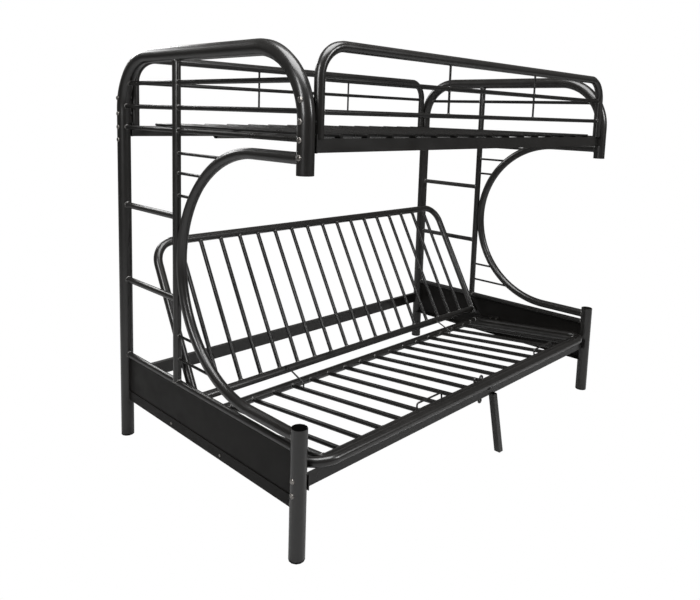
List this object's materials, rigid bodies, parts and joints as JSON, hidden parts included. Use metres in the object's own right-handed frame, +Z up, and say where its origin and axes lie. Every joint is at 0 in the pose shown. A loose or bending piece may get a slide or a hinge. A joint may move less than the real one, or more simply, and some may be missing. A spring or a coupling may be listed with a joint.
{
  "type": "sofa to bunk bed",
  "caption": "Black tubular steel bunk bed: a slatted upper berth with guard rails over a folding slatted sofa that opens flat, with rung ends as ladders.",
  "frame": {"origin": "on the floor, at the middle of the bed's overall length and depth", "axes": "+X along the bed to its right end as seen from the front, +Y from front to back, +Z up"},
  "size_m": [1.9908, 1.1899, 1.5814],
  "materials": {
    "black_powder_coat": "satin powder coat",
    "black_plastic": "matte",
    "black_zinc_fasteners": "black zinc"
  },
  "bodies": {
    "frame": {"back_post_left": "black_powder_coat", "front_leg_left": "black_powder_coat", "arch_left": "black_powder_coat", "panel_top_tube_left": "black_powder_coat", "mid_upright_left": "black_powder_coat", "curved_tube_left": "black_powder_coat", "end_bars_left": "black_powder_coat", "ladder_rungs_left": "black_powder_coat", "corner_rods_left": "black_powder_coat", "end_sheet_left": "black_powder_coat", "bottom_angle_left": "black_powder_coat", "back_post_right": "black_powder_coat", "front_leg_right": "black_powder_coat", "arch_right": "black_powder_coat", "panel_top_tube_right": "black_powder_coat", "mid_upright_right": "black_powder_coat", "curved_tube_right": "black_powder_coat", "end_bars_right": "black_powder_coat", "ladder_rungs_right": "black_powder_coat", "corner_rods_right": "black_powder_coat", "end_sheet_right": "black_powder_coat", "bottom_angle_right": "black_powder_coat", "tube_plugs": "black_plastic", "foot_glides": "black_plastic", "seam_sleeves": "black_powder_coat", "panel_rivets": "black_zinc_fasteners", "side_rail_front": "black_powder_coat", "side_rail_back": "black_powder_coat", "upper_slats": "black_powder_coat", "slat_support_tube": "black_powder_coat", "guard_hoop_front": "black_powder_coat", "guard_hoop_back": "black_powder_coat", "guard_bars_front": "black_powder_coat", "guard_bars_back": "black_powder_coat", "guard_rods": "black_powder_coat", "frame_bolts": "black_zinc_fasteners", "guard_spacers": "black_plastic", "back_stretcher": "black_powder_coat", "front_support_rail": "black_powder_coat", "centre_leg": "black_powder_coat", "centre_leg_foot": "black_plastic", "centre_leg_tab": "black_powder_coat", "front_saddle": "black_plastic", "seat_rest_brackets": "black_powder_coat"},
    "seat": {"seat_outer_tube": "black_powder_coat", "seat_front_rail": "black_powder_coat", "seat_rear_rail": "black_powder_coat", "seat_side_members": "black_powder_coat", "seat_slats": "black_powder_coat", "mattress_hoops": "black_powder_coat", "seat_hinge_leaves": "black_powder_coat", "seat_hinge_bolts": "black_zinc_fasteners", "hinge_pins": "black_zinc_fasteners"},
    "back": {"back_outer_tube": "black_powder_coat", "back_bottom_rail": "black_powder_coat", "back_slats": "black_powder_coat", "back_hinge_leaves": "black_powder_coat", "back_hinge_bolts": "black_zinc_fasteners", "back_wire_hooks": "black_powder_coat"}
  },
  "joints": [
    {"name": "seat_tilt", "type": "hinge", "parent": "frame", "child": "seat", "pos_m": [0, -0.54245, 0.291], "axis": [1, 0, 0], "range_deg": [0, 6.3]},
    {"name": "back_fold", "type": "hinge", "parent": "seat", "child": "back", "pos_m": [0, 0.0896, 0.23209], "axis": [-1, 0, 0], "range_deg": [0, 67.1]}
  ],
  "couplings": [
    {"joint": "seat_tilt", "follows": "back_fold", "ratio": 0.09389}
  ]
}
